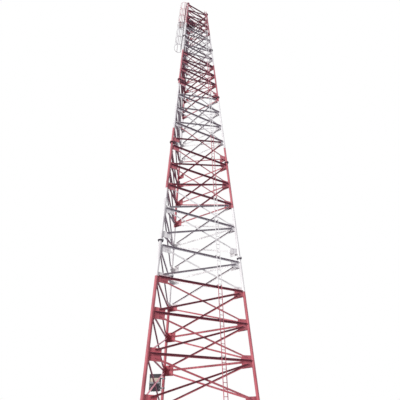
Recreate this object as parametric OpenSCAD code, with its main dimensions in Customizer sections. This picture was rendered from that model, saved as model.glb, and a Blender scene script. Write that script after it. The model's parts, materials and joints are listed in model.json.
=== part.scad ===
// Three-legged lattice radio mast, five flanged sections, in millimetres.
// The origin is the middle of the underside of foot A; +X runs along the front face to foot B.

/* [Mast] */
// Height of one flanged section; the lowest is one panel taller
section_h = 7500; // [6800:50:7550]
// Distance between leg centres at the ground
base_w = 5760; // [5200:10:6800]
// Distance between leg centres at the top of the mast
top_w = 2330; // [2000:10:2900]
// Height of each foot, from the ground to the first leg flange
foot_h = 400; // [320:10:480]

/* [Legs] */
// Outside diameter of the leg tubes in sections 1 and 2
leg_d_low = 159; // [133:1:220]
// Outside diameter of the leg tubes in section 3
leg_d_mid = 146; // [127:1:190]
// Outside diameter of the leg tubes in sections 4 and 5
leg_d_top = 133; // [114:1:168]
// Wall of the leg tubes
leg_wall = 10; // [6:1:14]
// How far the flanges stand out past a leg tube
flange_rim = 76; // [50:1:100]
// Thickness of each flange
flange_t = 30; // [20:1:45]

/* [Gusset plates] */
// Distance from the leg axis to a gusset's free edge in section 1
gusset_w_low = 620; // [500:10:760]
// The same distance in section 5
gusset_w_top = 400; // [340:10:480]
// Height of a gusset in section 1
gusset_h_low = 520; // [460:10:640]
// Height of a gusset in section 5
gusset_h_top = 400; // [360:10:500]
// Thickness of the gusset plates
gusset_t = 14; // [8:1:20]

/* [Bracing] */
// Gap between the panel points below and above a splice
splice_gap = 660; // [560:10:800]
// Width of the angle bars used as horizontals
rail_b = 100; // [70:1:120]
// Width of the angle bars used as diagonals
brace_b = 80; // [60:1:100]
// Thickness of the angle bars
angle_t = 9; // [6:1:14]
// Height of a diagonal's end above or below its panel point
brace_rise = 140; // [115:5:180]

/* [Ladder] */
// Distance from the middle of the front face to the middle of the ladder
ladder_x = 880; // [400:10:900]
// Distance from the front face out to the ladder
ladder_out = 250; // [180:10:400]
// Distance between the ladder's side tubes
ladder_w = 205; // [180:5:400]
// Diameter of the side tubes
stile_d = 40; // [30:1:60]
// Diameter of the rungs
rung_d = 25; // [18:1:34]
// Rise from one rung to the next
rung_step = 265; // [250:5:300]
// Height of the lowest end of the ladder
ladder_low = 650; // [450:10:1500]

/* [Feet] */
// Side of the square base plate
plate_w = 640; // [560:10:800]
// Thickness of the base plate
plate_t = 45; // [30:1:60]
// Pitch circle of the anchor bolts
anchor_pcd = 500; // [470:5:540]
// Diameter of the anchor bolt holes
anchor_hole = 36; // [30:1:42]

/* [Leg ladder and cage] */
// Length of the ladder on the near leg, down from the mast's top
leg_ladder_l = 9900; // [8000:50:10500]
// Distance from the leg axis out to the ladder on it
leg_ladder_out = 190; // [175:5:230]
// Distance between that ladder's side bars
leg_ladder_w = 380; // [320:10:440]
// Inside radius of the safety cage's hoops
hoop_r = 380; // [340:5:400]
// Width of the hoops
hoop_b = 60; // [40:5:80]
// Height of one hoop above the last
hoop_step = 1550; // [1200:50:1700]
// Thickness of the hoops and the upright strips
strip_t = 8; // [5:1:12]
// Width of the upright strips
strip_b = 45; // [30:5:60]
// Depth of the grating and frame of the rest platform in the cage
grating_t = 40; // [25:5:60]

/* [Drum dish] */
// Diameter of the drum
dish_d = 1000; // [700:10:1050]
// Depth of the drum's shroud
dish_l = 300; // [200:10:350]
// Depth of the bowl behind it
bowl_l = 190; // [150:10:220]
// Distance from the face plane in to the drum's cover
dish_off = 130; // [120:5:160]

/* [Equipment box] */
// Width of the box
box_w = 590; // [400:10:700]
// Height of the box
box_h = 780; // [600:10:900]
// Depth of the box
box_d = 300; // [200:10:400]
// Distance from the third panel point down to the top of the box
box_drop = 170; // [100:10:300]
// Distance from the leg axis to the box
box_off = 150; // [130:5:250]

/* [Hidden] */
SECTIONS = 5;
PANELS = [5, 4, 4, 5, 5];
$fn = 48;

// Four panels and one splice gap make up a section's height
low_panel_h = (section_h - splice_gap) / 4;
mast_top = foot_h + low_panel_h + SECTIONS * section_h;
// Lean of a leg from upright, and lean of a face from upright
lean = atan((base_w - top_w) / sqrt(3) / mast_top);
face_lean = atan((base_w - top_w) / (2 * sqrt(3)) / mast_top);
// Turn of each face plane about a leg's own axis
face_turn = atan(tan(30) / cos(lean));

function width_at(z) = base_w - (base_w - top_w) * z / mast_top;
function joint_z(j) = foot_h + j * section_h + (j > 0 ? low_panel_h : 0);
function panel_h(i) = (joint_z(i + 1) - joint_z(i) - splice_gap) / PANELS[i];
function point_z(i, n) = joint_z(i) + splice_gap / 2 + n * panel_h(i);
function leg_d(i) = i < 2 ? leg_d_low : i < 3 ? leg_d_mid : leg_d_top;
function flange_d(j) = leg_d(max(j - 1, 0)) + 2 * flange_rim;
function blend(low, top, i) = low + (top - low) * i / (SECTIONS - 1);
function gusset_w(i) = blend(gusset_w_low, gusset_w_top, i);
function gusset_h(i) = blend(gusset_h_low, gusset_h_top, i);
// Paint bands change at every third panel point, red at both ends
PAINT_Z = [point_z(0, 4), point_z(1, 2), point_z(2, 1), point_z(2, 4), point_z(3, 3), point_z(4, 2)];
function bands_below(z) = len([for (p = PAINT_Z) if (z > p + 1) 1]);
function paint(z) = bands_below(z) % 2 == 0 ? "#b0404c" : "#f2f0ec";

FOOT = [[0, 0], [base_w, 0], [base_w / 2, base_w * sin(60)]];

// Children are drawn along leg k: Z runs up its axis and X points in to the middle of the mast
module on_leg(k)
    translate(FOOT[k])
        rotate([0, 0, 30 + 120 * k])
            rotate([0, lean, 0])
                children();

// Children are drawn on face k: X runs along it, Z up its slope and Y into the mast
module on_face(k)
    rotate_about_middle(120 * k)
        translate([base_w / 2, 0, 0])
            rotate([-face_lean, 0, 0])
                children();

module rotate_about_middle(turn)
    translate([base_w / 2, base_w / (2 * sqrt(3)), 0])
        rotate([0, 0, turn])
            translate([-base_w / 2, -base_w / (2 * sqrt(3)), 0])
                children();

// Distance up a leg, or up a face, at height z
function along_leg(z) = z / cos(lean);
function up_face(z) = z / cos(face_lean);

// --- Feet ---

module foot(k) {
    stub_l = along_leg(foot_h);
    rib_h = foot_h - plate_t - flange_t - 40;
    color("#b0404c") difference() {
        union() {
            translate([FOOT[k][0], FOOT[k][1], plate_t / 2])
                rotate([0, 0, 30 + 120 * k])
                    cube([plate_w, plate_w, plate_t], center = true);
            on_leg(k) {
                translate([0, 0, plate_t / 2]) cylinder(d = leg_d_low, h = stub_l - plate_t / 2);
                translate([0, 0, stub_l - flange_t]) cylinder(d = flange_d(0), h = flange_t);
            }
            for (turn = [0:90:270])
                translate([FOOT[k][0], FOOT[k][1], plate_t / 2])
                    rotate([0, 0, 30 + 120 * k + turn])
                        rotate([90, 0, 0])
                            linear_extrude(gusset_t, center = true)
                                polygon([[40, 0], [plate_w / 2 - 25, 0], [plate_w / 2 - 25, 60],
                                         [leg_d_low / 2 + 30, rib_h], [40, rib_h]]);
        }
        for (i = [0:7])
            translate([FOOT[k][0], FOOT[k][1], -1])
                rotate([0, 0, 30 + 120 * k + 22.5 + 45 * i])
                    translate([anchor_pcd / 2, 0, 0])
                        cylinder(d = anchor_hole, h = plate_t + 2);
    }
}

// --- Legs ---

// One gusset plate, welded to the leg and lying in the plane of a face
module gusset(i, below, above, side)
    rotate([0, 0, side * face_turn])
        translate([leg_d(i) / 2 - leg_wall / 2, -gusset_t / 2, -below])
            cube([gusset_w(i) - leg_d(i) / 2 + leg_wall / 2, gusset_t, below + above]);

module leg_section(k, i) {
    z0 = along_leg(joint_z(i));
    z1 = along_leg(joint_z(i + 1));
    closed_top = i == SECTIONS - 1 ? flange_t : 0;
    color(paint((joint_z(i) + joint_z(i + 1)) / 2)) on_leg(k) difference() {
        union() {
            translate([0, 0, z0]) cylinder(d = leg_d(i), h = z1 - z0);
            translate([0, 0, z0]) cylinder(d = flange_d(i), h = flange_t);
            translate([0, 0, z1 - flange_t]) cylinder(d = flange_d(i + 1), h = flange_t);
            for (n = [0:PANELS[i]], side = [-1, 1]) {
                below = n == 0 ? gusset_h(i) * 0.25 : gusset_h(i) * (n == PANELS[i] ? 0.6 : 0.5);
                above = n == PANELS[i] ? gusset_h(i) * 0.12 : gusset_h(i) * 0.5;
                translate([0, 0, along_leg(point_z(i, n))]) gusset(i, below, above, side);
            }
        }
        translate([0, 0, z0 - 1])
            cylinder(d = leg_d(i) - 2 * leg_wall, h = z1 - z0 + 1 - closed_top + (closed_top > 0 ? 0 : 1));
    }
}

// --- Bracing ---

// An angle bar from one point of a face to another further along it. It lies on the gussets'
// outer side (side = -1) or inner side (side = 1), and its free leg stands away at the top.
module angle_bar(from, to, b, side) {
    run = to - from;
    translate([from[0], side * gusset_t / 2, from[1]])
        rotate([0, -atan2(run[1], run[0]), 0])
            scale_y(side)
                rotate([90, 0, 90])
                    linear_extrude(norm(run))
                        polygon([[0, -b / 2], [angle_t, -b / 2], [angle_t, b / 2 - angle_t],
                                 [b, b / 2 - angle_t], [b, b / 2], [0, b / 2]]);
}

module scale_y(side)
    if (side < 0) mirror([0, 1, 0]) children();
    else children();

// Two crossing diagonals, one on each side, with a packing plate where they meet
module cross_brace(i, n) {
    low = up_face(point_z(i, n)) + brace_rise;
    high = up_face(point_z(i, n + 1)) - brace_rise;
    reach = gusset_w(i) * 0.5;
    low_x = width_at(point_z(i, n)) / 2 - reach;
    high_x = width_at(point_z(i, n + 1)) / 2 - reach;
    cross_z = low + (high - low) * low_x / (low_x + high_x);
    angle_bar([-low_x, low], [high_x, high], brace_b, -1);
    angle_bar([-high_x, high], [low_x, low], brace_b, 1);
    translate([0, 0, cross_z])
        cube([brace_b * 1.1, gusset_t, brace_b * 0.7], center = true);
}

// One face of one section: the horizontals and the crossed diagonals of every panel
module bracing(k, i) on_face(k)
    for (n = [0:PANELS[i] - 1]) {
        rail_z = point_z(i, n + 1);
        rail_x = width_at(rail_z) / 2 - leg_d(i) / 2 - 20;
        color(paint(point_z(i, n) + 10)) cross_brace(i, n);
        color(paint(rail_z))
            angle_bar([-rail_x, up_face(rail_z)], [rail_x, up_face(rail_z)], rail_b, -1);
    }

// --- Ladder ---

function ladder_from(i) = i == 0 ? up_face(ladder_low) : up_face(joint_z(i)) + 5;
function ladder_to(i) = up_face(joint_z(i + 1)) - 5;

module ladder(i) {
    from = ladder_from(i);
    to = ladder_to(i);
    rungs = floor((to - from - rung_step / 2) / rung_step);
    color(paint((joint_z(i) + joint_z(i + 1)) / 2)) on_face(0)
        translate([ladder_x, -ladder_out, 0]) {
            for (side = [-1, 1])
                translate([side * ladder_w / 2, 0, from]) cylinder(d = stile_d, h = to - from);
            for (r = [0:rungs])
                translate([-ladder_w / 2, 0, from + rung_step / 2 + r * rung_step])
                    rotate([0, 90, 0]) cylinder(d = rung_d, h = ladder_w);
        }
}

// A U-shaped bracket on each front horizontal, whose two arms reach out to the side tubes
module ladder_bracket(i, n) {
    top = up_face(point_z(i, n)) + rail_b / 2;
    inner = gusset_t / 2 + 20;
    arm_t = 10;
    arm_b = 50;
    difference() {
        union() {
            for (side = [-1, 1])
                translate([ladder_x + side * ladder_w / 2 - arm_b / 2, -ladder_out, top])
                    cube([arm_b, ladder_out - inner, arm_t]);
            translate([ladder_x - ladder_w / 2, -inner - arm_b, top])
                cube([ladder_w, arm_b, arm_t]);
        }
        for (side = [-1, 1])
            translate([ladder_x + side * ladder_w / 2, -ladder_out, top - 1])
                cylinder(d = stile_d, h = arm_t + 2);
        translate([ladder_x - ladder_w, -ladder_out - stile_d, top - 1])
            cube([2 * ladder_w, stile_d, arm_t + 2]);
    }
}

module ladder_brackets() color("#9a9a9a") on_face(0)
    for (i = [0:SECTIONS - 1], n = [1:PANELS[i]]) ladder_bracket(i, n);

// --- Ladder and safety cage on leg A ---

// The ladder stands outside face CA, so it is turned about the leg from straight out
cage_turn = -60;
cage_to = along_leg(mast_top) - flange_t - 60;
cage_from = cage_to - leg_ladder_l;
hoop_x = -leg_ladder_out - hoop_r * 0.62;
HOOPS = floor((cage_to - cage_from - 100) / hoop_step);
STRIP_ANGLES = [-110, -60, 0, 60, 110];
// The rest platform lies just above this hoop
PLATFORM_HOOP = 3;
GRATING_BARS = 11;
FRAME_B = 30;

module on_cage()
    on_leg(0) rotate([0, 0, cage_turn]) children();

// Two flat side bars with round rungs, standing outside the leg
module leg_ladder() color("#f2f0ec") on_cage()
    translate([-leg_ladder_out, 0, 0]) {
        for (side = [-1, 1])
            translate([-25, side * leg_ladder_w / 2 - 5, cage_from])
                cube([50, 10, cage_to - cage_from]);
        for (r = [0:floor((cage_to - cage_from - rung_step) / rung_step)])
            translate([0, 0, cage_from + rung_step / 2 + r * rung_step])
                rotate([90, 0, 0]) cylinder(d = rung_d, h = leg_ladder_w, center = true);
    }

// Brackets stand half-way between panel points, clear of the gussets and midway between rungs
function bracket_h(i, n) =
    let (half_way = along_leg(point_z(i, n) + panel_h(i) / 2))
    cage_from + rung_step * round((half_way - cage_from) / rung_step);
BRACKET_H = [for (i = [3, 4], n = [0:PANELS[i] - 1]) if (bracket_h(i, n) > cage_from + 60) bracket_h(i, n)];

// Collars round the leg, each with two arms to the ladder's side bars
module leg_ladder_brackets() color("#9a9a9a") on_cage() {
    grip = leg_d_top / 2 + 6;
    bar_y = leg_ladder_w / 2 - 5;
    arm = [[grip * cos(112), grip * sin(112)], [-leg_ladder_out + 20, bar_y],
           [-leg_ladder_out - 20, bar_y], [-leg_ladder_out - 20, bar_y - 10],
           [-leg_ladder_out + 16, bar_y - 10], [grip * cos(119), grip * sin(119)]];
    for (h = BRACKET_H)
        translate([0, 0, h]) {
            band(leg_d_top, 60, 12);
            linear_extrude(40, center = true)
                for (side = [-1, 1])
                    polygon([for (p = arm) [p[0], side * p[1]]]);
        }
}

module band(d, h, t) difference() {
    cylinder(d = d + 2 * t, h = h, center = true);
    cylinder(d = d, h = h + 2, center = true);
}

// Hoops open towards the ladder, joined inside by upright strips
module safety_cage() color("#f2f0ec") on_cage() {
    for (h = [0:HOOPS])
        translate([hoop_x, 0, cage_from + 100 + h * hoop_step]) cage_hoop();
    for (turn = STRIP_ANGLES)
        translate([hoop_x, 0, cage_from + 100 - hoop_b / 2])
            rotate([0, 0, 180 + turn])
                translate([hoop_r - strip_t, -strip_b / 2, 0])
                    cube([strip_t + 0.5, strip_b, HOOPS * hoop_step + hoop_b]);
}

// The hoop stops at the outer faces of the ladder's side bars, where its two ends run straight
module cage_hoop() {
    end_x = -leg_ladder_out - hoop_x;
    linear_extrude(hoop_b, center = true) {
        difference() {
            circle(r = hoop_r + strip_t);
            circle(r = hoop_r);
            translate([end_x - 20, -hoop_r * 2]) square([hoop_r * 4, hoop_r * 4]);
        }
        for (side = [-1, 1]) {
            wide = sqrt(pow(hoop_r + strip_t / 2, 2) - pow(end_x - 20, 2));
            tip = leg_ladder_w / 2 + 5;
            polygon([[end_x - 25, side * wide], [end_x - 25 + strip_t, side * (wide + 4)],
                     [end_x + 20, side * (tip + strip_t)], [end_x + 20, side * tip],
                     [end_x - 10, side * tip]]);
        }
    }
}

// A framed grating across the cage, resting on lugs against three of the upright strips
module rest_platform() color("#b0404c") on_cage() {
    reach = hoop_r - strip_t - 0.3;
    half = reach * sin(45);
    near = -hoop_x - leg_ladder_out - 45;
    translate([hoop_x, 0, cage_from + 100 + PLATFORM_HOOP * hoop_step + hoop_b]) {
        for (y = [-half, half - FRAME_B])
            translate([-half, y, 0]) cube([half + near, FRAME_B, grating_t]);
        for (x = [-half, near - FRAME_B])
            translate([x, -half, 0]) cube([FRAME_B, 2 * half, grating_t]);
        for (turn = [120, 180, 240])
            rotate([0, 0, turn])
                translate([half - FRAME_B, -FRAME_B / 2, 0])
                    cube([reach - half + FRAME_B, FRAME_B, grating_t]);
        for (i = [1:GRATING_BARS])
            translate([-half + FRAME_B / 2, -half + i * 2 * half / (GRATING_BARS + 1) - 3, 4])
                cube([half + near - FRAME_B, 6, grating_t - 8]);
    }
}

// --- Drum dish inside face CA ---

dish_i = 4;
dish_n = 3;
dish_mid = (up_face(point_z(dish_i, dish_n)) + up_face(point_z(dish_i, dish_n + 1))) / 2;
pipe_d = 76;
pipe_y = dish_off + dish_l + bowl_l + 60 + 12 + pipe_d / 2;

// A shroud with a flat cover, and a bowl behind it that narrows to a hub
module drum_dish() color("#4a4048") on_face(2)
    translate([0, dish_off, dish_mid]) rotate([-90, 0, 0])
        rotate_extrude()
            polygon(concat([[0, 0], [dish_d / 2 - 6, 0], [dish_d / 2, 6], [dish_d / 2, dish_l]],
                [for (a = [10:10:80]) [dish_d / 2 * cos(a) + 30 * sin(a), dish_l + bowl_l * sin(a)]],
                [[80, dish_l + bowl_l], [80, dish_l + bowl_l + 60], [0, dish_l + bowl_l + 60]]));

// An upright pipe behind the dish, held by an arm from the horizontal above and below
module dish_bracket() color("#8d8a8e") on_face(2) {
    reach = panel_h(dish_i) / 2 / cos(face_lean);
    translate([0, pipe_y, dish_mid - reach - 60]) cylinder(d = pipe_d, h = 2 * reach + 120);
    for (side = [-1, 1])
        translate([0, 0, dish_mid + side * reach]) {
            translate([-30, 0, -30]) cube([60, pipe_y, 60]);
            translate([-110, -gusset_t / 2, -rail_b / 2 + 5]) cube([220, 12, rail_b - 10]);
        }
    translate([-70, pipe_y - pipe_d / 2 - 12, dish_mid - 70]) cube([140, pipe_d + 24, 140]);
}

// --- Equipment box on leg C ---

box_top = point_z(0, 2) - box_drop;
// Heights of the two collars that carry the box, between the gussets
BOX_COLLARS = [box_top - box_h + 130, box_top - 200];

// Children are drawn upright beside leg C: X runs out past face CA, away from the leg
module beside_leg_c()
    translate([FOOT[2][0], FOOT[2][1] - leg_shift(box_top - box_h / 2), 0])
        rotate([0, 0, 150])
            children();

// How far a leg has leaned in at height z
function leg_shift(z) = tan(lean) * z;

module equipment_box() color("#b9ae9c") beside_leg_c()
    translate([box_off, -box_d / 2, box_top - box_h]) cube([box_w, box_d, box_h]);

// Collars round the leg, each with a flat bar and an end plate to the side of the box
module box_bracket() color("#8d8a8e")
    for (z = BOX_COLLARS) {
        shift = leg_shift(z) - leg_shift(box_top - box_h / 2);
        start = leg_d_low / 2 + 6 - shift * sin(30);
        on_leg(2) translate([0, 0, along_leg(z)]) band(leg_d_low, 60, 14);
        beside_leg_c() {
            translate([start, shift * cos(30) - 5, z - 25]) cube([box_off - start - 4, 10, 50]);
            translate([box_off - 8, -60, z - 35]) cube([8, 120, 70]);
        }
    }

foot(0);  // foot_a
foot(1);  // foot_b
foot(2);  // foot_c
for (i = [0:SECTIONS - 1]) {
    leg_section(0, i);
    leg_section(1, i);
    leg_section(2, i);
    bracing(0, i);
    bracing(1, i);
    bracing(2, i);
    ladder(i);
}
ladder_brackets();
leg_ladder();
leg_ladder_brackets();
safety_cage();
rest_platform();
drum_dish();
dish_bracket();
equipment_box();
box_bracket();
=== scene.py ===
import json
import math

import bmesh
import bpy
from mathutils import Matrix, Vector


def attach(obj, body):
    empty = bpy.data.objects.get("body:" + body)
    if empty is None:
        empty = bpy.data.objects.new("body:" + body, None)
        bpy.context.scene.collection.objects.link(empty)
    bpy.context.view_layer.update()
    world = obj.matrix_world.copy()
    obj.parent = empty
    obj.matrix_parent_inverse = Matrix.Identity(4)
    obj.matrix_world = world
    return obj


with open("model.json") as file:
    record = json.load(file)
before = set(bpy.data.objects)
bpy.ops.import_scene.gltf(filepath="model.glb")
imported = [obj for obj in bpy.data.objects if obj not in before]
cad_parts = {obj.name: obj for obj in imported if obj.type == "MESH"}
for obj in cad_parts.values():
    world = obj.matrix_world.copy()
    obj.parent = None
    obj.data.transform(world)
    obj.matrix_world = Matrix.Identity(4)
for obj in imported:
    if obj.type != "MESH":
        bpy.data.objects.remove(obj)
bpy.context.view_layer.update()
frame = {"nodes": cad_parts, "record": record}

print("frame:", len(frame["nodes"]), "nodes")


# sizes of the steelwork in metres; a pair runs from section 1 to section 5
lattice = {
    "panels": [5, 4, 4, 5, 5],
    "spliceGap": 0.66,
    "railWidth": 0.1,
    "angleThick": 0.009,
    "braceRise": 0.14,
    "plateThick": 0.014,
    "plateReach": [0.62, 0.4],
    "plateHeight": [0.52, 0.4],
    "legDiameter": [0.159, 0.159, 0.146, 0.133, 0.133],
    "flangeRim": 0.076,
    "flangeThick": 0.03,
}
sections = len(lattice["panels"])
letters = "abc"


def mountPlace(name):
    return Vector(next(m["pos_m"] for m in frame["record"]["mounts"] if m["name"] == name))


feet = [mountPlace("foot_" + letter + "_face") for letter in letters]
middle = sum(feet, Vector()) / 3


def topNormal(node):
    # the top flange is square to its leg, so its face gives the leg's direction
    upright, sliver = 0.9, 1e-6
    flat = [p for p in frame["nodes"][node].data.polygons
            if p.normal.z > upright and p.area > sliver]
    return max(flat, key=lambda p: p.center.z).normal.copy()


legAxis = [topNormal("leg_" + letter + "_5") for letter in letters]


def reachAlong(k, node):
    return sorted((v.co - feet[k]).dot(legAxis[k]) for v in frame["nodes"][node].data.vertices)


def levelsAlong(k, node):
    # the middle of each group of a node's corners up the leg
    groupGap = 0.25
    groups = []
    for reach in reachAlong(k, node):
        if groups and reach - groups[-1][1] < groupGap:
            groups[-1][1] = reach
        else:
            groups.append([reach, reach])
    return [(low + high) / 2 for low, high in groups]


jointZ = [reachAlong(0, "leg_a_1")[0] * legAxis[0].z]
jointZ += [reachAlong(0, f"leg_a_{i + 1}")[-1] * legAxis[0].z for i in range(sections)]


def pointZ(i, n):
    step = (jointZ[i + 1] - jointZ[i] - lattice["spliceGap"]) / lattice["panels"][i]
    return jointZ[i] + lattice["spliceGap"] / 2 + n * step


def blend(pair, i):
    return pair[0] + (pair[1] - pair[0]) * i / (sections - 1)


def axes(xDir, zDir):
    return Matrix((xDir, zDir.cross(xDir), zDir)).transposed().to_4x4()


def legPoint(k, z):
    return feet[k] + legAxis[k] * (z / legAxis[k].z)


def legFrame(k, z):
    # X points in to the middle of the mast and Z up the leg
    inward = (middle - feet[k]).normalized()
    xDir = (inward - legAxis[k] * inward.dot(legAxis[k])).normalized()
    return Matrix.Translation(legPoint(k, z)) @ axes(xDir, legAxis[k])


def makeFaceFrame(k):
    # X runs along the face from the middle of its foot, Y into the mast and Z up its slope
    other = (k + 1) % 3
    foot = (feet[k] + feet[other]) / 2
    sampleZ = 10
    up = ((legPoint(k, sampleZ) + legPoint(other, sampleZ)) / 2 - foot).normalized()
    return Matrix.Translation(foot) @ axes((feet[other] - feet[k]).normalized(), up)


faceFrame = [makeFaceFrame(k) for k in range(3)]
faceRise = (faceFrame[0].to_3x3() @ Vector((0, 0, 1))).z


def halfWidth(z):
    return (legPoint(1, z) - legPoint(0, z)).length / 2


def shifted(x, y, z):
    return Matrix.Translation((x, y, z))


def turned(degrees, axis):
    return Matrix.Rotation(math.radians(degrees), 4, axis)


def linear(hexCode):
    # sRGB hex to the linear colour that a shader takes
    parts = [int(hexCode[i:i + 2], 16) / 255 for i in (1, 3, 5)]
    return [c / 12.92 if c <= 0.04045 else ((c + 0.055) / 1.055) ** 2.4 for c in parts] + [1.0]


def addNode(tree, kind, inputs=None, output=None, **settings):
    # adds a node, sets or links its inputs, and gives back one of its outputs
    node = tree.nodes.new(kind)
    for name, value in settings.items():
        setattr(node, name, value)
    for key, value in (inputs or {}).items():
        named = [s for s in node.inputs if s.name == key and s.enabled]
        socket = named[0] if named else node.inputs[key]
        several = isinstance(value, list) and isinstance(value[0], bpy.types.NodeSocket)
        for item in value if several else [value]:
            if isinstance(item, bpy.types.NodeSocket):
                tree.links.new(item, socket)
            else:
                socket.default_value = item
    shown = [s for s in node.outputs if s.enabled]
    return next((s for s in shown if s.name == output), shown[0] if shown else None)


def newMaterial(name):
    mat = bpy.data.materials.new(name)
    mat.use_nodes = True
    tree = mat.node_tree
    tree.nodes.clear()
    return mat, tree, addNode(tree, "ShaderNodeTexCoord", output="Object")


# paint bands change near these panel points, red at both ends; on each kind of part the
# edge was cut in at its own height above or below them
mastPaint = {
    "points": [(0, 4), (1, 2), (2, 1), (2, 4), (3, 3), (4, 2)],
    "onBars": [0.07, -0.075, -0.075, -0.075, 0.07, -0.075],
    "onLegs": [0.03, -0.25, -0.6, -0.24, 0.38, -0.29],
    "onCage": [0.07, -0.075, -0.075, -0.075, 0.07, -0.73],
    # the cage's greyed whites are painted shade
    "cageShadedWhite": "#A9A4A8", "cageShadedDirtyWhite": "#8C868C",
    "red": "#B64D57", "redFaded": "#C46A71", "redDeep": "#97404B",
    # the mauve-grey laid on undersides, and the most of it, are painted shade
    "white": "#EDECEA", "whiteDirty": "#C8C3C4", "undersideShade": "#7A6675", "chalk": "#D8CCDC",
    "rust": "#6A3A26", "edgeWander": 0.012, "undersideShadeMost": 0.8, "chalkWeight": 0.55,
    "chalkRoughness": 0.55, "smoothest": 0.42, "roughest": 0.62,
}


def brushedMastPaint(name, lifts, white, whiteDirty):
    # Oil paint brushed on galvanised steel: satin, chalked by the sun, in red and white bands
    # with dirt runs, brush marks and a few rust specks, and painted shade on the undersides
    mat, tree, coords = newMaterial(name)
    height = addNode(tree, "ShaderNodeSeparateXYZ", {"Vector": coords}, "Z")
    wavy = addNode(tree, "ShaderNodeTexNoise", {"Vector": coords, "Scale": 9.0}, "Fac")
    wander = addNode(tree, "ShaderNodeMapRange", {
        "Value": wavy, "From Min": 0.3, "From Max": 0.7,
        "To Min": -mastPaint["edgeWander"], "To Max": mastPaint["edgeWander"]})
    level = addNode(tree, "ShaderNodeMath", {0: height, 1: wander}, operation="ADD")
    band = 0.0
    for count, (point, lift) in enumerate(zip(mastPaint["points"], lifts)):
        past = addNode(tree, "ShaderNodeMath", {0: level, 1: pointZ(*point) + lift},
                       operation="GREATER_THAN")
        band = addNode(tree, "ShaderNodeMath", {0: band, 1: past},
                       operation="SUBTRACT" if count % 2 else "ADD")

    # clouds of chalking under a metre wide, and runs 70 mm wide that trail down the steel
    clouds = addNode(tree, "ShaderNodeTexNoise", {"Vector": coords, "Scale": 1.3, "Detail": 4.0}, "Fac")
    fade = addNode(tree, "ShaderNodeMapRange", {"Value": clouds, "From Min": 0.35, "From Max": 0.7})
    drawn = addNode(tree, "ShaderNodeMapping", {"Vector": coords, "Scale": (1, 1, 0.06)})
    streaks = addNode(tree, "ShaderNodeTexNoise", {"Vector": drawn, "Scale": 14.0, "Detail": 3.0}, "Fac")
    runs = addNode(tree, "ShaderNodeMapRange", {"Value": streaks, "From Min": 0.48, "From Max": 0.68})
    red = addNode(tree, "ShaderNodeMix", {
        "Factor": fade, "A": linear(mastPaint["red"]),
        "B": linear(mastPaint["redFaded"])}, data_type="RGBA")
    red = addNode(tree, "ShaderNodeMix", {
        "Factor": runs, "A": red, "B": linear(mastPaint["redDeep"])}, data_type="RGBA")
    white = addNode(tree, "ShaderNodeMix", {
        "Factor": runs, "A": linear(white), "B": linear(whiteDirty)}, data_type="RGBA")
    colour = addNode(tree, "ShaderNodeMix", {"Factor": band, "A": red, "B": white}, data_type="RGBA")

    # rust comes through in patches of specks a few millimetres wide
    fine = addNode(tree, "ShaderNodeTexNoise", {"Vector": coords, "Scale": 90.0, "Roughness": 0.7}, "Fac")
    specks = addNode(tree, "ShaderNodeMapRange", {"Value": fine, "From Min": 0.64, "From Max": 0.7})
    broad = addNode(tree, "ShaderNodeTexNoise", {"Vector": coords, "Scale": 3.0, "Detail": 3.0}, "Fac")
    patches = addNode(tree, "ShaderNodeMapRange", {"Value": broad, "From Min": 0.5, "From Max": 0.62})
    rusty = addNode(tree, "ShaderNodeMath", {0: specks, 1: patches}, operation="MULTIPLY")
    colour = addNode(tree, "ShaderNodeMix", {
        "Factor": rusty, "A": colour, "B": linear(mastPaint["rust"])}, data_type="RGBA")
    # painted shade: surfaces facing down are blended towards a dim mauve-grey that stands in for the
    # shade under them
    facing = addNode(tree, "ShaderNodeTexCoord", output="Normal")
    rise = addNode(tree, "ShaderNodeSeparateXYZ", {"Vector": facing}, "Z")
    paintedUndersideShade = addNode(tree, "ShaderNodeMapRange", {
        "Value": rise, "From Min": -0.15, "From Max": -0.8,
        "To Max": mastPaint["undersideShadeMost"]})
    colour = addNode(tree, "ShaderNodeMix", {
        "Factor": paintedUndersideShade, "A": colour, "B": linear(mastPaint["undersideShade"])}, data_type="RGBA")

    sheen = addNode(tree, "ShaderNodeMapRange", {
        "Value": clouds, "From Min": 0.3, "From Max": 0.7,
        "To Min": mastPaint["smoothest"], "To Max": mastPaint["roughest"]})
    # brush marks 17 mm apart, drawn twice as coarse as real ones so that they show
    brushed = addNode(tree, "ShaderNodeMapping", {"Vector": coords, "Scale": (1, 1, 0.25)})
    marks = addNode(tree, "ShaderNodeTexNoise", {"Vector": brushed, "Scale": 60.0, "Detail": 4.0}, "Fac")
    skin = addNode(tree, "ShaderNodeBump", {"Height": marks, "Strength": 0.25, "Distance": 0.002})
    surface = addNode(tree, "ShaderNodeBsdfPrincipled", {
        "Base Color": colour, "Roughness": sheen, "Normal": skin, "IOR": 1.47,
        "Sheen Weight": mastPaint["chalkWeight"], "Sheen Roughness": mastPaint["chalkRoughness"],
        "Sheen Tint": linear(mastPaint["chalk"])})
    addNode(tree, "ShaderNodeOutputMaterial", {"Surface": surface})
    return mat


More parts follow.
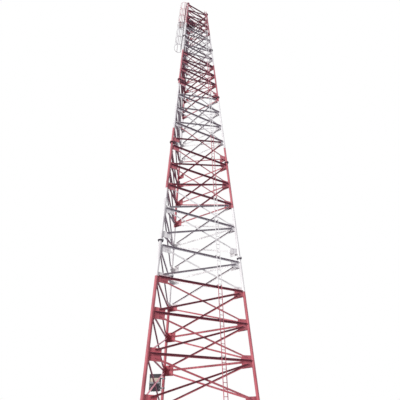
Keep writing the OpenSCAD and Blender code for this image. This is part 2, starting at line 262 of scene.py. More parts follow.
def dullZinc(name, dark, light, stain):
    # Hot-dip galvanised steel gone dull: grey zinc crystals about 12 mm across with a soft
    # sheen, under a film of dirt in clouds
    mat, tree, coords = newMaterial(name)
    crystals = addNode(tree, "ShaderNodeTexVoronoi", {"Vector": coords, "Scale": 80.0}, "Color")
    tone = addNode(tree, "ShaderNodeSeparateXYZ", {"Vector": crystals}, "X")
    broad = addNode(tree, "ShaderNodeTexNoise", {"Vector": coords, "Scale": 5.0, "Detail": 4.0}, "Fac")
    film = addNode(tree, "ShaderNodeMapRange", {"Value": broad, "From Min": 0.5, "From Max": 0.75})
    base = addNode(tree, "ShaderNodeMix", {
        "Factor": tone, "A": linear(dark), "B": linear(light)}, data_type="RGBA")
    base = addNode(tree, "ShaderNodeMix", {
        "Factor": film, "A": base, "B": linear(stain)}, data_type="RGBA")
    sheen = addNode(tree, "ShaderNodeMapRange", {"Value": tone, "To Min": 0.42, "To Max": 0.6})
    skin = addNode(tree, "ShaderNodeBump", {"Height": tone, "Strength": 0.15, "Distance": 0.001})
    surface = addNode(tree, "ShaderNodeBsdfPrincipled", {
        "Base Color": base, "Roughness": sheen, "Normal": skin, "Metallic": 0.7})
    addNode(tree, "ShaderNodeOutputMaterial", {"Surface": surface})
    return mat


def powderCoat(name, light, dark, roughness, peel):
    # Powder coat baked on sheet metal: an even colour with an orange-peel skin, and rain
    # dirt in runs 55 mm wide
    mat, tree, coords = newMaterial(name)
    drawn = addNode(tree, "ShaderNodeMapping", {"Vector": coords, "Scale": (1, 1, 0.1)})
    streaks = addNode(tree, "ShaderNodeTexNoise", {"Vector": drawn, "Scale": 18.0, "Detail": 3.0}, "Fac")
    runs = addNode(tree, "ShaderNodeMapRange", {"Value": streaks, "From Min": 0.42, "From Max": 0.75})
    colour = addNode(tree, "ShaderNodeMix", {
        "Factor": runs, "A": linear(light), "B": linear(dark)}, data_type="RGBA")
    sheen = addNode(tree, "ShaderNodeMapRange", {
        "Value": streaks, "From Min": 0.3, "From Max": 0.7,
        "To Min": roughness - 0.06, "To Max": roughness + 0.08})
    grains = addNode(tree, "ShaderNodeTexNoise", {"Vector": coords, "Scale": peel}, "Fac")
    skin = addNode(tree, "ShaderNodeBump", {"Height": grains, "Strength": 0.12, "Distance": 0.001})
    surface = addNode(tree, "ShaderNodeBsdfPrincipled", {
        "Base Color": colour, "Roughness": sheen, "Normal": skin, "IOR": 1.5})
    addNode(tree, "ShaderNodeOutputMaterial", {"Surface": surface})
    return mat


whites = (mastPaint["white"], mastPaint["whiteDirty"])
barPaint = brushedMastPaint("brushedOilPaintOnBars", mastPaint["onBars"], *whites)
legPaint = brushedMastPaint("brushedOilPaintOnLegs", mastPaint["onLegs"], *whites)
# painted shade: the cage's white and its dirt runs are greyed to stand in for the shade the cage hangs in
cagePaint = brushedMastPaint("shadeGreyedOilPaintOnCage", mastPaint["onCage"],
                             mastPaint["cageShadedWhite"], mastPaint["cageShadedDirtyWhite"])
zinc = dullZinc("hotDipGalvanisedSteel", "#86868A", "#A0A0A3", "#726F76")
boltSteel = dullZinc("spunGalvanisedBolts", "#58545C", "#716C74", "#463F48")
# painted shade: the dish's shroud and cover get a dark mauve-grey that stands in for the shade the dish
# hangs in
dishShell = powderCoat("shadeDarkAluminiumShroud", "#3A313B", "#2A232C", 0.5, 900.0)
dishCover = powderCoat("shadeDarkGlassFibreCover", "#4A424C", "#3B343D", 0.6, 500.0)
boxShell = powderCoat("beigePowderCoatedSteel", "#C8BDAC", "#A89C8C", 0.45, 700.0)
boxTrim = powderCoat("darkPowderCoatedSteel", "#3C353D", "#2A252C", 0.5, 700.0)
print("materials:", len(bpy.data.materials))


def dress(node, mat):
    slots = frame["nodes"][node].material_slots
    if not slots:
        frame["nodes"][node].data.materials.append(mat)
    for slot in slots:
        slot.material = mat


for name in frame["nodes"]:
    if name.startswith(("leg_a_", "leg_b_", "leg_c_")):
        dress(name, legPaint)
    elif name in ("safety_cage", "rest_platform"):
        dress(name, cagePaint)
    elif name.startswith(("bracing", "foot", "leg_ladder")) or (
            name.startswith("ladder_") and name[-1].isdigit()):
        dress(name, barPaint)
    elif name == "drum_dish":
        dress(name, dishShell)
    elif name == "equipment_box":
        dress(name, boxTrim)
    else:
        dress(name, zinc)


def startTree(name, sizes):
    # what repeats is made by Geometry Nodes, with a named input for each size
    tree = bpy.data.node_groups.new(name, "GeometryNodeTree")
    tree.interface.new_socket("Geometry", in_out="INPUT", socket_type="NodeSocketGeometry")
    tree.interface.new_socket("Geometry", in_out="OUTPUT", socket_type="NodeSocketGeometry")
    for size in sizes:
        tree.interface.new_socket(size, in_out="INPUT", socket_type="NodeSocketFloat")
    return tree, {port.name: port for port in tree.nodes.new("NodeGroupInput").outputs}


def endTree(tree, geometry, mat):
    whole = addNode(tree, "GeometryNodeRealizeInstances", {"Geometry": geometry})
    painted = addNode(tree, "GeometryNodeSetMaterial", {"Geometry": whole, "Material": mat})
    addNode(tree, "NodeGroupOutput", {"Geometry": painted})
    return tree


def setOnPoints(tree, points, shape):
    turn = addNode(tree, "GeometryNodeInputNamedAttribute", {"Name": "turn"}, data_type="QUATERNION")
    return addNode(tree, "GeometryNodeInstanceOnPoints", {
        "Points": points, "Instance": shape, "Rotation": turn})


def turnedParts(tree, rows, scale, lift=None):
    # short discs on one axis, each row giving sides, radius, bottom and top at scale 1
    discs = []
    for sides, radius, low, high in rows:
        disc = addNode(tree, "GeometryNodeMeshCylinder", {
            "Vertices": sides, "Radius": radius, "Depth": high - low})
        discs.append(addNode(tree, "GeometryNodeTransform", {
            "Geometry": disc, "Translation": (0, 0, (low + high) / 2)}))
    joined = addNode(tree, "GeometryNodeJoinGeometry", {"Geometry": discs})
    size = addNode(tree, "ShaderNodeCombineXYZ", {"X": scale, "Y": scale, "Z": scale})
    sized = addNode(tree, "GeometryNodeTransform", {"Geometry": joined, "Scale": size})
    if lift is None:
        return sized
    up = addNode(tree, "ShaderNodeCombineXYZ", {"Z": lift})
    return addNode(tree, "GeometryNodeTransform", {"Geometry": sized, "Translation": up})


def aimedPoints(places):
    mesh = bpy.data.meshes.new("aimedPoints")
    mesh.from_pydata([place.translation for place in places], [], [])
    turn = mesh.attributes.new("turn", "QUATERNION", "POINT")
    for value, place in zip(turn.data, places):
        value.value = place.to_quaternion()
    return mesh


def bakeNodes(name, source, tree, sizes):
    # runs a tree on a source mesh and keeps what comes out as a plain mesh on the mast
    holder = bpy.data.objects.new(name + "Source", source)
    bpy.context.scene.collection.objects.link(holder)
    modifier = holder.modifiers.new("nodes", "NODES")
    modifier.node_group = tree
    for socket in tree.interface.items_tree:
        if socket.name in sizes:
            modifier[socket.identifier] = sizes[socket.name]
    depsgraph = bpy.context.evaluated_depsgraph_get()
    mesh = bpy.data.meshes.new_from_object(holder.evaluated_get(depsgraph))
    holder.modifiers.remove(modifier)
    bpy.data.objects.remove(holder)
    putOnMast(name, mesh)


def putOnMast(name, mesh):
    mesh.name = name
    piece = bpy.data.objects.new(name, mesh)
    bpy.context.scene.collection.objects.link(piece)
    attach(piece, "root")
    print(name + ":", len(mesh.polygons), "faces")
    return piece


def hexBoltTree(name, mat):
    # in widths across the flats: head and washer above the plates, nut and washer below
    tree, size = startTree(name, ["Across", "Grip", "Tail"])
    top = addNode(tree, "ShaderNodeMath", {0: size["Grip"], 1: 0.5}, operation="MULTIPLY")
    bottom = addNode(tree, "ShaderNodeMath", {0: size["Grip"], 1: -0.5}, operation="MULTIPLY")
    head = turnedParts(tree, [(10, 0.62, 0.0, 0.1), (6, 0.577, 0.1, 0.52)], size["Across"], top)
    nut = turnedParts(tree, [(10, 0.62, -0.1, 0.0), (6, 0.577, -0.75, -0.1)], size["Across"], bottom)
    radius = addNode(tree, "ShaderNodeMath", {0: size["Across"], 1: 0.33}, operation="MULTIPLY")
    # the thread starts inside the nut and stands out below it by the tail
    inside = addNode(tree, "ShaderNodeMath", {0: size["Across"], 1: -0.4, 2: bottom},
                     operation="MULTIPLY_ADD")
    length = addNode(tree, "ShaderNodeMath", {0: size["Across"], 1: 0.35, 2: size["Tail"]},
                     operation="MULTIPLY_ADD")
    thread = addNode(tree, "GeometryNodeMeshCylinder", {
        "Vertices": 8, "Radius": radius, "Depth": length})
    half = addNode(tree, "ShaderNodeMath", {0: length, 1: -0.5, 2: inside},
                   operation="MULTIPLY_ADD")
    down = addNode(tree, "ShaderNodeCombineXYZ", {"Z": half})
    thread = addNode(tree, "GeometryNodeTransform", {"Geometry": thread, "Translation": down})
    bolt = addNode(tree, "GeometryNodeJoinGeometry", {"Geometry": [head, nut, thread]})
    return endTree(tree, setOnPoints(tree, size["Geometry"], bolt), mat)


def turnedTree(name, rows, mat):
    # one turned shape on every point, sized by a single width
    tree, size = startTree(name, ["Across"])
    shape = turnedParts(tree, rows, size["Across"])
    return endTree(tree, setOnPoints(tree, size["Geometry"], shape), mat)


def slatTree(name, mat):
    # one flat slat on every point: X along it, Y across it
    tree, size = startTree(name, ["Length", "Width", "Thickness"])
    box = addNode(tree, "ShaderNodeCombineXYZ", {
        "X": size["Length"], "Y": size["Width"], "Z": size["Thickness"]})
    slat = addNode(tree, "GeometryNodeMeshCube", {"Size": box})
    return endTree(tree, setOnPoints(tree, size["Geometry"], slat), mat)


def filletWeldTree(name, mat):
    # a bead along each line of edges, whose ripples lie a step apart
    tree, size = startTree(name, ["Bead", "Step", "Ripple"])
    line = addNode(tree, "GeometryNodeMeshToCurve", {"Mesh": size["Geometry"]})
    line = addNode(tree, "GeometryNodeResampleCurve", {
        "Curve": line, "Length": size["Step"]}, mode="LENGTH")
    index = addNode(tree, "GeometryNodeInputIndex")
    odd = addNode(tree, "ShaderNodeMath", {0: index, 1: 2.0}, operation="MODULO")
    swell = addNode(tree, "ShaderNodeMath", {0: odd, 1: size["Ripple"], 2: 1.0},
                    operation="MULTIPLY_ADD")
    ring = addNode(tree, "GeometryNodeCurvePrimitiveCircle", {"Resolution": 5, "Radius": size["Bead"]})
    bead = addNode(tree, "GeometryNodeCurveToMesh", {
        "Curve": line, "Profile Curve": ring, "Scale": swell, "Fill Caps": True})
    return endTree(tree, bead, mat)


# bolts in the leg flanges
flangeBolt = {"count": 12, "across": 0.041, "tail": 0.045}


def flangeBoltPlaces():
    places = []
    for k in range(3):
        for j in range(sections):
            # each joint carries the flange of the wider leg below it
            ring = lattice["legDiameter"][max(j - 1, 0)] / 2 + lattice["flangeRim"] * 0.5
            for b in range(flangeBolt["count"]):
                turn = turned(360 * (b + 0.5) / flangeBolt["count"], "Z")
                places.append(legFrame(k, jointZ[j]) @ turn @ shifted(ring, 0, 0))
    return places


paintedBolt = hexBoltTree("paintedHexBolt", barPaint)
bareBolt = hexBoltTree("bareHexBolt", boltSteel)
bakeNodes("flange_bolts", aimedPoints(flangeBoltPlaces()), bareBolt, {
    "Across": flangeBolt["across"], "Grip": 2 * lattice["flangeThick"],
    "Tail": flangeBolt["tail"]})


# bolts that hold the bracing to the gusset plates
bracingBolt = {
    "across": 0.03, "tail": 0.012, "inset": 0.035, "pitch": [0.065, 0.045], "count": 3,
    "railCount": 3, "railGap": 0.02, "railInset": 0.05,
}


def facePlace(k, x, s, side):
    # the middle of a bolt's grip through one bar and its plate, head on the bar's side
    y = side * lattice["angleThick"] / 2
    return faceFrame[k] @ shifted(x, y, s) @ turned(90 if side < 0 else -90, "X")


def panelEnds(i, n):
    # half widths and heights up the slope at which the diagonals of a panel end
    hold = blend(lattice["plateReach"], i) / 2
    low = pointZ(i, n) / faceRise + lattice["braceRise"]
    high = pointZ(i, n + 1) / faceRise - lattice["braceRise"]
    return halfWidth(pointZ(i, n)) - hold, halfWidth(pointZ(i, n + 1)) - hold, low, high


def diagonalPlaces(k, i, n):
    # a row of bolts at both ends of both diagonals
    places = []
    pitch = blend(bracingBolt["pitch"], i)
    lowX, highX, low, high = panelEnds(i, n)
    for side in (-1, 1):
        start, end = Vector((side * lowX, 0, low)), Vector((-side * highX, 0, high))
        along = (end - start).normalized()
        for b in range(bracingBolt["count"]):
            step = along * (bracingBolt["inset"] + b * pitch)
            for spot in (start + step, end - step):
                places.append(facePlace(k, spot.x, spot.z, side))
    return places


def railPlaces(k, i, n):
    # a row of bolts at both ends of the horizontal above a panel
    places = []
    fromLeg = lattice["legDiameter"][i] / 2
    railX = halfWidth(pointZ(i, n + 1)) - fromLeg - bracingBolt["railGap"]
    overlap = blend(lattice["plateReach"], i) - fromLeg - bracingBolt["railGap"]
    inset, gaps = bracingBolt["railInset"], bracingBolt["railCount"] - 1
    for b in range(bracingBolt["railCount"]):
        x = railX - inset - b * (overlap - 2 * inset) / gaps
        for end in (-x, x):
            places.append(facePlace(k, end, pointZ(i, n + 1) / faceRise, -1))
    return places


def bracingBoltPlaces(k):
    places = []
    for i, n in everyPanel:
        places += diagonalPlaces(k, i, n) + railPlaces(k, i, n)
    return places


def crossingPlaces():
    # one bolt through both diagonals and the packing plate where they cross
    places = []
    for k in range(3):
        for i, n in everyPanel:
            lowX, highX, low, high = panelEnds(i, n)
            s = low + (high - low) * lowX / (lowX + highX)
            places.append(faceFrame[k] @ shifted(0, 0, s) @ turned(90, "X"))
    return places


everyPanel = [(i, n) for i in range(sections) for n in range(lattice["panels"][i])]
oneBarGrip = lattice["plateThick"] + lattice["angleThick"]
for k, face in enumerate(("ab", "bc", "ca")):
    bakeNodes(f"bracing_bolts_{face}", aimedPoints(bracingBoltPlaces(k)), paintedBolt, {
        "Across": bracingBolt["across"], "Grip": oneBarGrip, "Tail": bracingBolt["tail"]})
bakeNodes("crossing_bolts", aimedPoints(crossingPlaces()), paintedBolt, {
    "Across": bracingBolt["across"], "Grip": oneBarGrip + lattice["angleThick"],
    "Tail": bracingBolt["tail"]})


# welds between leg, gusset plates and flanges
weld = {
    "bead": 0.006, "step": 0.022, "ripple": 0.3, "ringSides": 32, "proud": 0.4,
    "half": 0.5, "firstBelow": 0.25, "lastBelow": 0.6, "lastAbove": 0.12,
}


def weldLines():
    lines = []
    faceTurn = math.degrees(math.atan(math.tan(math.radians(30)) / legAxis[0].z))
    proud = weld["bead"] * weld["proud"]
    out = lattice["plateThick"] / 2 + proud
    for k in range(3):
        for i in range(sections):
            radius = lattice["legDiameter"][i] / 2 + proud
            tall = blend(lattice["plateHeight"], i)
            last = lattice["panels"][i]
            for n in range(last + 1):
                # the first and last plates of a section are uneven, to clear its flanges
                part = {0: "firstBelow", last: "lastBelow"}.get(n, "half")
                below = tall * weld[part]
                above = tall * weld["lastAbove" if n == last else "half"]
                place = legFrame(k, pointZ(i, n))
                for side in (-1, 1):
                    edge = place @ turned(side * faceTurn, "Z")
                    for y in (-out, out):
                        ends = [edge @ Vector((radius, y, h)) for h in (-below, above)]
                        lines.append((ends, False))
            for j, step in ((i, lattice["flangeThick"]), (i + 1, -lattice["flangeThick"])):
                ring = legFrame(k, jointZ[j]) @ shifted(0, 0, step)
                corners = [ring @ turned(360 * c / weld["ringSides"], "Z") @ Vector((radius, 0, 0))
                           for c in range(weld["ringSides"])]
                lines.append((corners, True))
    return lines


def edgeMesh(lines):
    mesh = bpy.data.meshes.new("lines")
    points, edges = [], []
    for corners, closed in lines:
        first = len(points)
        points += corners
        edges += [(first + c, first + c + 1) for c in range(len(corners) - 1)]
        if closed:
            edges.append((len(points) - 1, first))
    mesh.from_pydata(points, edges, [])
    return mesh


bakeNodes("leg_welds", edgeMesh(weldLines()), filletWeldTree("filletWeld", legPaint), {
    "Bead": weld["bead"], "Step": weld["step"], "Ripple": weld["ripple"]})


# anchor bolts in the feet: washer, nut, lock nut and thread, in widths across the flats
anchor = {"count": 8, "circle": 0.5, "plate": 0.045, "across": 0.046, "start": 30 + 22.5}
anchorRows = [(12, 0.75, 0.0, 0.12), (6, 0.577, 0.12, 0.92), (6, 0.577, 0.95, 1.35),
              (10, 0.33, -0.85, 1.8)]
anchorPlaces = [
    Matrix.Translation(feet[k])
    @ turned(anchor["start"] + 120 * k + 360 * b / anchor["count"], "Z")
    @ shifted(anchor["circle"] / 2, 0, anchor["plate"])
    for k in range(3) for b in range(anchor["count"])]
bakeNodes("anchor_bolts", aimedPoints(anchorPlaces), turnedTree("anchorStud", anchorRows, boltSteel), {
    "Across": anchor["across"]})


# clamps on the front ladder
frontLadder = {"x": 0.88, "out": 0.25, "width": 0.205, "tube": 0.04, "earIn": 0.032, "earDrop": 0.01}
clampRows = [(16, 0.58, -0.9, 0.35)]


def clampPlaces():
    places = []
    for i in range(sections):
        for n in range(1, lattice["panels"][i] + 1):
            s = pointZ(i, n) / faceRise + lattice["railWidth"] / 2
            for side in (-1, 1):
                x = frontLadder["x"] + side * frontLadder["width"] / 2
                places.append(faceFrame[0] @ shifted(x, -frontLadder["out"], s))
    return places


bakeNodes("ladder_clamps", aimedPoints(clampPlaces()), turnedTree("tubeClamp", clampRows, zinc), {
    "Across": frontLadder["tube"]})
earShift = shifted(0, frontLadder["earIn"], -frontLadder["earDrop"])
earPlaces = [place @ earShift @ turned(90, "Y") for place in clampPlaces()]
bakeNodes("ladder_clamp_bolts", aimedPoints(earPlaces), bareBolt, {
    "Across": 0.019, "Grip": 0.02, "Tail": 0.008})


# safety cage and rest platform on leg A
cage = {
    "turn": -60, "ladderOut": 0.19, "radius": 0.38, "step": 1.55, "hoopHeight": 0.06,
    "strips": [-110, -60, 0, 60, 110], "stripThick": 0.008, "rivet": 0.022, "platformHoop": 3,
    "gratingDepth": 0.04, "seat": 0.0003, "ladderClear": 0.045,
    "rods": 9, "rodEdge": 0.03, "rodSink": 0.006, "rodEnd": 0.01,
    "pairGap": 0.015, "collarBolt": 0.03, "collarEar": 0.028,
}
cageAxis = -cage["ladderOut"] - cage["radius"] * 0.62
firstHoop = reachAlong(0, "safety_cage")[0] + cage["hoopHeight"] / 2
lastHoop = reachAlong(0, "safety_cage")[-1] - cage["hoopHeight"] / 2
hoops = round((lastHoop - firstHoop) / cage["step"]) + 1


def cageFrame(s):
    # X points from the ladder towards the leg, and s is how far up the leg
    return legFrame(0, s * legAxis[0].z) @ turned(cage["turn"], "Z")


rivetPlaces = []
for h in range(hoops):
    for strip in cage["strips"]:
        for drop in (-cage["pairGap"], cage["pairGap"]):
            place = cageFrame(firstHoop + h * cage["step"] + drop) @ shifted(cageAxis, 0, 0)
            place = place @ turned(180 + strip, "Z") @ shifted(cage["radius"] + cage["stripThick"], 0, 0)
            rivetPlaces.append(place @ turned(90, "Y"))
rivetRows = [(8, 0.5, 0.0, 0.22), (8, 0.34, 0.22, 0.38)]
bakeNodes("cage_rivets", aimedPoints(rivetPlaces), turnedTree("domedRivet", rivetRows, cagePaint), {
    "Across": cage["rivet"]})

# cross rods let into the top of the grating
platformHalf = (cage["radius"] - cage["stripThick"] - cage["seat"]) * math.sin(math.radians(45))
platformEnd = -cageAxis - cage["ladderOut"] - cage["ladderClear"]
platformTop = firstHoop + cage["platformHoop"] * cage["step"] + cage["hoopHeight"] + cage["gratingDepth"]
rodPlaces = []
for r in range(cage["rods"]):
    run = platformHalf + platformEnd - 2 * cage["rodEdge"]
    x = -platformHalf + cage["rodEdge"] + run * (r + 0.5) / cage["rods"]
    rodFrame = cageFrame(platformTop - cage["rodSink"])
    rodPlaces.append(rodFrame @ shifted(cageAxis + x, 0, 0) @ turned(90, "Z"))
bakeNodes("grating_rods", aimedPoints(rodPlaces), slatTree("crossRod", cagePaint), {
    "Length": 2 * platformHalf - 2 * cage["rodEnd"], "Width": 0.007, "Thickness": 0.007})

# ears of the collars that carry the leg ladder, and the bolts through them
topLegRadius = lattice["legDiameter"][4] / 2
collarLevels = levelsAlong(0, "leg_ladder_brackets")
collarPlaces = [
    cageFrame(s + h) @ shifted(topLegRadius + cage["collarBolt"], 0, 0) @ turned(90, "X")
    for s in collarLevels for h in (-cage["pairGap"], cage["pairGap"])]
bakeNodes("collar_bolts", aimedPoints(collarPlaces), bareBolt, {
    "Across": 0.024, "Grip": 0.036, "Tail": 0.012})
earSpots = [cageFrame(s) @ shifted(topLegRadius + cage["collarEar"], 0, 0) for s in collarLevels]
bakeNodes("collar_ears", aimedPoints(earSpots), slatTree("collarEar", zinc), {
    "Length": 0.044, "Width": 0.034, "Thickness": 0.058})


def slab(bm, place, low, high, slot=0):
    # a cuboid between two corners of a frame
    size = [b - a for a, b in zip(low, high)]
    centre = [(a + b) / 2 for a, b in zip(low, high)]
    matrix = place @ shifted(*centre) @ Matrix.Diagonal((*size, 1))
    made = bmesh.ops.create_cube(bm, size=1.0, matrix=matrix)
    for face in {f for v in made["verts"] for f in v.link_faces}:
        face.material_index = slot


def lathe(bm, place, profile, steps=48, slot=0):
    # turns (radius, height) pairs round a frame's Z, and closes both ends
    angles = [2 * math.pi * s / steps for s in range(steps)]
    rings = []
    for radius, height in profile:
        corners = [Vector((radius * math.cos(a), radius * math.sin(a), height)) for a in angles]
        rings.append([bm.verts.new(place @ corner) for corner in corners])
    for below, above in zip(rings, rings[1:]):
        for s in range(steps):
            t = (s + 1) % steps
            bm.faces.new((below[s], below[t], above[t], above[s])).material_index = slot
    bm.faces.new(list(reversed(rings[0]))).material_index = slot
    bm.faces.new(rings[-1]).material_index = slot


def finishShape(name, bm, mats, bevel=0.0):
    bmesh.ops.recalc_face_normals(bm, faces=bm.faces)
    mesh = bpy.data.meshes.new(name)
    bm.to_mesh(mesh)
    bm.free()
    for mat in mats:
        mesh.materials.append(mat)
    piece = putOnMast(name, mesh)
    if bevel:
        rounding = piece.modifiers.new("edges", "BEVEL")
        rounding.width = bevel
        rounding.segments = 2
        rounding.limit_method = "ANGLE"


# drum dish
drum = {
    "radius": 0.5, "depth": 0.3, "bowl": 0.19, "out": 0.13, "pipe": 0.076,
    "standOff": 0.06, "clamp": 0.012, "latches": 12, "ribs": 6, "ribHalf": 0.004,
}
dishS = (pointZ(4, 3) + pointZ(4, 4)) / 2 / faceRise
dishFrame = faceFrame[2] @ shifted(0, drum["out"], dishS) @ turned(-90, "X")
r, deep, back = drum["radius"], drum["depth"], drum["depth"] + drum["bowl"]
pipeZ = back + drum["standOff"] + drum["clamp"] + drum["pipe"] / 2

bm = bmesh.new()
# a cover stretched over the front
lathe(bm, dishFrame, [
    (0.02, -0.03), (0.2, -0.026), (0.35, -0.016), (r - 0.02, -0.003), (r - 0.01, 0.004)], slot=1)
# the band that clamps it
lathe(bm, dishFrame, [
    (r - 0.012, -0.006), (r + 0.006, -0.004), (r + 0.01, 0.01), (r + 0.008, 0.045),
    (r - 0.01, 0.05)], slot=2)
# the rolled rear rim
lathe(bm, dishFrame, [
    (r - 0.01, deep - 0.02), (r + 0.014, deep - 0.015), (r + 0.014, deep + 0.008),
    (r - 0.01, deep + 0.015)])
# the hub's mounting plate
lathe(bm, dishFrame, [
    (0.12, back - 0.006), (0.14, back + 0.004), (0.14, back + 0.018), (0.1, back + 0.022)], slot=2)
finishShape("dish_rims", bm, [dishShell, dishCover, zinc])

# latches round the band, and ribs on the bowl
latchPlaces = [
    dishFrame @ turned(360 * b / drum["latches"], "Z") @ shifted(r + 0.012, 0, 0.022)
    for b in range(drum["latches"])]
bakeNodes("dish_latches", aimedPoints(latchPlaces), slatTree("bandLatch", zinc), {
    "Length": 0.016, "Width": 0.03, "Thickness": 0.05})
bm = bmesh.new()
for b in range(drum["ribs"]):
    turn = dishFrame @ turned(30 + 360 * b / drum["ribs"], "Z")
    outline = [(a, r * math.cos(a) + 0.03 * math.sin(a))
               for a in [math.radians(d) for d in range(8, 80, 9)]]
    lines = []
    for widen, lift in ((-0.01, -0.01), (0.006, 0.016)):
        lines.append([turn @ Vector((radius + widen, 0, deep + drum["bowl"] * math.sin(a) + lift))
                      for a, radius in outline])
    aside = turn.to_3x3() @ Vector((0, drum["ribHalf"], 0))
    strips = [[bm.verts.new(p + aside * s) for p in line] for line in lines for s in (-1, 1)]
    for p, q in ((0, 1), (1, 3), (3, 2), (2, 0)):
        for c in range(len(outline) - 1):
            bm.faces.new((strips[p][c], strips[q][c], strips[q][c + 1], strips[p][c + 1]))
    for c in (0, len(outline) - 1):
        bm.faces.new([strips[p][c] for p in (0, 1, 3, 2)])
finishShape("dish_ribs", bm, [dishShell])

# the radio unit hangs beside the pipe on two clamps
radio = {"clamps": ((-0.105, -0.075), (0.075, 0.105)), "fins": 11, "finSpan": 0.22, "edge": 0.004}
radioFrame = dishFrame @ shifted(0, 0, pipeZ)
bm = bmesh.new()
slab(bm, radioFrame, (0.06, -0.13, -0.045), (0.3, 0.13, 0.045))
for near, far in radio["clamps"]:
    slab(bm, radioFrame, (-0.055, near, -0.052), (0.07, far, 0.052), 1)
finishShape("radio_unit", bm, [boxShell, zinc], radio["edge"])
finPlaces = []
for f in range(radio["fins"]):
    y = -radio["finSpan"] / 2 + radio["finSpan"] * f / (radio["fins"] - 1)
    finPlaces.append(radioFrame @ shifted(0.18, y, 0.058))
bakeNodes("radio_fins", aimedPoints(finPlaces), slatTree("coolingFin", boxShell), {
    "Length": 0.21, "Width": 0.004, "Thickness": 0.028})


# equipment box
cabinet = {
    "width": 0.59, "height": 0.78, "depth": 0.3, "out": 0.15, "drop": 0.17, "turn": 150,
    "hood": 0.17, "panel": 0.2, "tray": 0.07, "sheet": 0.012, "edge": 0.003,
    "louvres": 9, "louvrePitch": 0.028, "louvreTilt": -35,
    "glands": 5, "glandPitch": 0.09, "screwInset": 0.09, "screwEdge": 0.035,
}
cabinetTop = pointZ(0, 2) - cabinet["drop"]
cabinetMiddle = legPoint(2, cabinetTop - cabinet["height"] / 2)
# X points out past face CA and Y towards leg A, where the door is
cabinetFrame = Matrix.Translation((cabinetMiddle.x, cabinetMiddle.y, cabinetTop))
cabinetFrame = cabinetFrame @ turned(cabinet["turn"], "Z")
left, right, front = cabinet["out"], cabinet["out"] + cabinet["width"], cabinet["depth"] / 2
sheet, hood, bottom = cabinet["sheet"], -cabinet["hood"], -cabinet["height"]
panelTop, panelLow = hood - 0.004, hood - cabinet["panel"]
trayTop = panelLow - 0.01
trayLow = trayTop - cabinet["tray"]
lowTop = trayLow - 0.012
shell, trim, metal = 0, 1, 2

cabinetSlabs = [
    # hood, with a skirt and a drip edge at the front
    ((left - sheet, -front - sheet, -0.006), (right + sheet, front + 0.03, 0.014), trim),
    ((left - sheet, front - 0.01, hood), (right + sheet, front + sheet, -0.004), trim),
    ((left - sheet, front + 0.018, -0.03), (right + sheet, front + 0.03, 0.0), trim),
    # the door panel, with a raised field
    ((left + 0.05, front - 0.01, panelLow), (right - 0.05, front + 0.012, panelTop), shell),
    ((left + 0.075, front + 0.008, panelLow + 0.02),
     (right - 0.075, front + 0.018, panelTop - 0.02), shell),
    # the cable tray across the front
    ((left - 0.02, front - 0.006, trayLow), (right + 0.02, front + 0.05, trayLow + 0.006), metal),
    ((left - 0.02, front + 0.044, trayLow), (right + 0.02, front + 0.05, trayTop), metal),
    # the lower door, its two hinges and its lock
    ((left + 0.03, front - 0.01, bottom + 0.02), (right - 0.03, front + 0.01, lowTop), trim),
]
for z in (lowTop - 0.06, bottom + 0.08):
    cabinetSlabs.append(((left + 0.012, front, z - 0.03), (left + 0.04, front + 0.022, z + 0.03), metal))
cabinetSlabs += [
    ((right - 0.075, front + 0.008, -0.62), (right - 0.045, front + 0.022, -0.54), metal),
    # back and side covers stand a little proud of the shell
    ((left + 0.03, -front - 0.008, bottom + 0.03), (right - 0.03, -front + 0.004, -0.03), shell),
    ((right - 0.004, -front + 0.03, bottom + 0.03), (right + 0.008, front - 0.03, hood), shell),
]
bm = bmesh.new()
for low, high, slot in cabinetSlabs:
    slab(bm, cabinetFrame, low, high, slot)
finishShape("cabinet_panels", bm, [boxShell, boxTrim, zinc], cabinet["edge"])

louvrePlaces = []
for v in range(cabinet["louvres"]):
    z = lowTop - 0.05 - cabinet["louvrePitch"] * v
    place = cabinetFrame @ shifted((left + right) / 2 - 0.04, front + 0.012, z)
    louvrePlaces.append(place @ turned(cabinet["louvreTilt"], "X"))
bakeNodes("cabinet_louvres", aimedPoints(louvrePlaces), slatTree("louvre", boxTrim), {
    "Length": 0.34, "Width": 0.022, "Thickness": 0.004})

glandRows = [(12, 0.5, -0.35, 0.0), (6, 0.62, -0.15, 0.0), (12, 0.36, -0.8, -0.3)]
glandPlaces = [cabinetFrame @ shifted(left + 0.1 + cabinet["glandPitch"] * g, 0.02, bottom)
               for g in range(cabinet["glands"])]
bakeNodes("cable_glands", aimedPoints(glandPlaces), turnedTree("cableGland", glandRows, boxTrim), {
    "Across": 0.045})

screwRows = [(10, 0.5, 0.0, 0.25), (10, 0.3, 0.25, 0.35)]
screwX = (left + cabinet["screwInset"], (left + right) / 2, right - cabinet["screwInset"])
screwZ = (panelLow + cabinet["screwEdge"], panelTop - cabinet["screwEdge"])
screwPlaces = [cabinetFrame @ shifted(x, front + 0.018, z) @ turned(-90, "X")
               for x in screwX for z in screwZ]
bakeNodes("panel_screws", aimedPoints(screwPlaces), turnedTree("panScrew", screwRows, zinc), {
    "Across": 0.014})


# floor, light and camera
studio = {
    "above": 0.95, "below": 0.29, "belowTint": "#BDB2CC", "seen": 1.0,
    "floorSize": 400, "floor": "#E4E4E4", "floorBounce": "#66606E",
    "sunTowards": (-0.85, -0.4, 0.36), "sunStrength": 2.8, "sunSpread": 12,
}


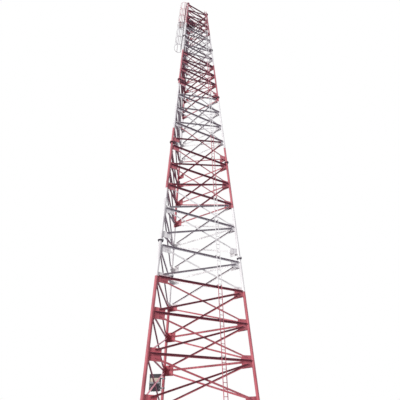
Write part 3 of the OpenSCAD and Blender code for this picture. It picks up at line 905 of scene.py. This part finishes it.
def standOnStage():
    bpy.ops.mesh.primitive_plane_add(size=studio["floorSize"], location=(middle.x, middle.y, 0))
    floor = bpy.context.object
    floor.name = "studioFloor"
    mat, tree, _ = newMaterial("paleStudioFloor")
    seen = addNode(tree, "ShaderNodeLightPath", output="Is Camera Ray")
    colour = addNode(tree, "ShaderNodeMix", {
        "Factor": seen, "A": linear(studio["floorBounce"]),
        "B": linear(studio["floor"])}, data_type="RGBA")
    surface = addNode(tree, "ShaderNodeBsdfPrincipled", {"Base Color": colour, "Roughness": 0.9})
    addNode(tree, "ShaderNodeOutputMaterial", {"Surface": surface})
    floor.data.materials.append(mat)

    # a bright tent above and a dimmer, cooler half below; the camera itself sees an even white
    world = bpy.data.worlds.new("softStudio")
    bpy.context.scene.world = world
    world.use_nodes = True
    tree = world.node_tree
    tree.nodes.clear()
    direction = addNode(tree, "ShaderNodeTexCoord", output="Generated")
    up = addNode(tree, "ShaderNodeSeparateXYZ", {"Vector": direction}, "Z")
    rise = addNode(tree, "ShaderNodeMapRange", {"Value": up, "From Min": -0.25, "From Max": 0.6})
    glow = addNode(tree, "ShaderNodeMapRange", {
        "Value": rise, "To Min": studio["below"], "To Max": studio["above"]})
    tint = addNode(tree, "ShaderNodeMix", {
        "Factor": rise, "A": linear(studio["belowTint"]), "B": (1, 1, 1, 1)}, data_type="RGBA")
    seen = addNode(tree, "ShaderNodeLightPath", output="Is Camera Ray")
    strength = addNode(tree, "ShaderNodeMix", {"Factor": seen, "A": glow, "B": studio["seen"]})
    tint = addNode(tree, "ShaderNodeMix", {
        "Factor": seen, "A": tint, "B": (1, 1, 1, 1)}, data_type="RGBA")
    sky = addNode(tree, "ShaderNodeBackground", {"Color": tint, "Strength": strength})
    addNode(tree, "ShaderNodeOutputWorld", {"Surface": sky})
    bpy.context.scene.view_settings.view_transform = "Standard"

    data = bpy.data.lights.new("keySun", "SUN")
    data.energy = studio["sunStrength"]
    data.angle = math.radians(studio["sunSpread"])
    sun = bpy.data.objects.new("keySun", data)
    bpy.context.scene.collection.objects.link(sun)
    sun.rotation_euler = Vector(studio["sunTowards"]).to_track_quat("Z", "Y").to_euler()


view = {"place": (-4.671, -13.737, 1.732), "heading": 59.92, "pitch": 35.25, "roll": -1.32,
        "lens": 28.40, "shift": -0.024, "farthest": 500}


def placeCamera():
    data = bpy.data.cameras.new("camera")
    data.lens = view["lens"]
    data.sensor_width = 36
    data.shift_x = view["shift"]
    data.clip_end = view["farthest"]
    cam = bpy.data.objects.new("camera", data)
    bpy.context.scene.collection.objects.link(cam)
    aim = turned(view["heading"] - 90, "Z") @ turned(90 + view["pitch"], "X") @ turned(view["roll"], "Z")
    cam.matrix_world = Matrix.Translation(view["place"]) @ aim
    bpy.context.scene.camera = cam


standOnStage()
placeCamera()
print("stage, sun and camera set")
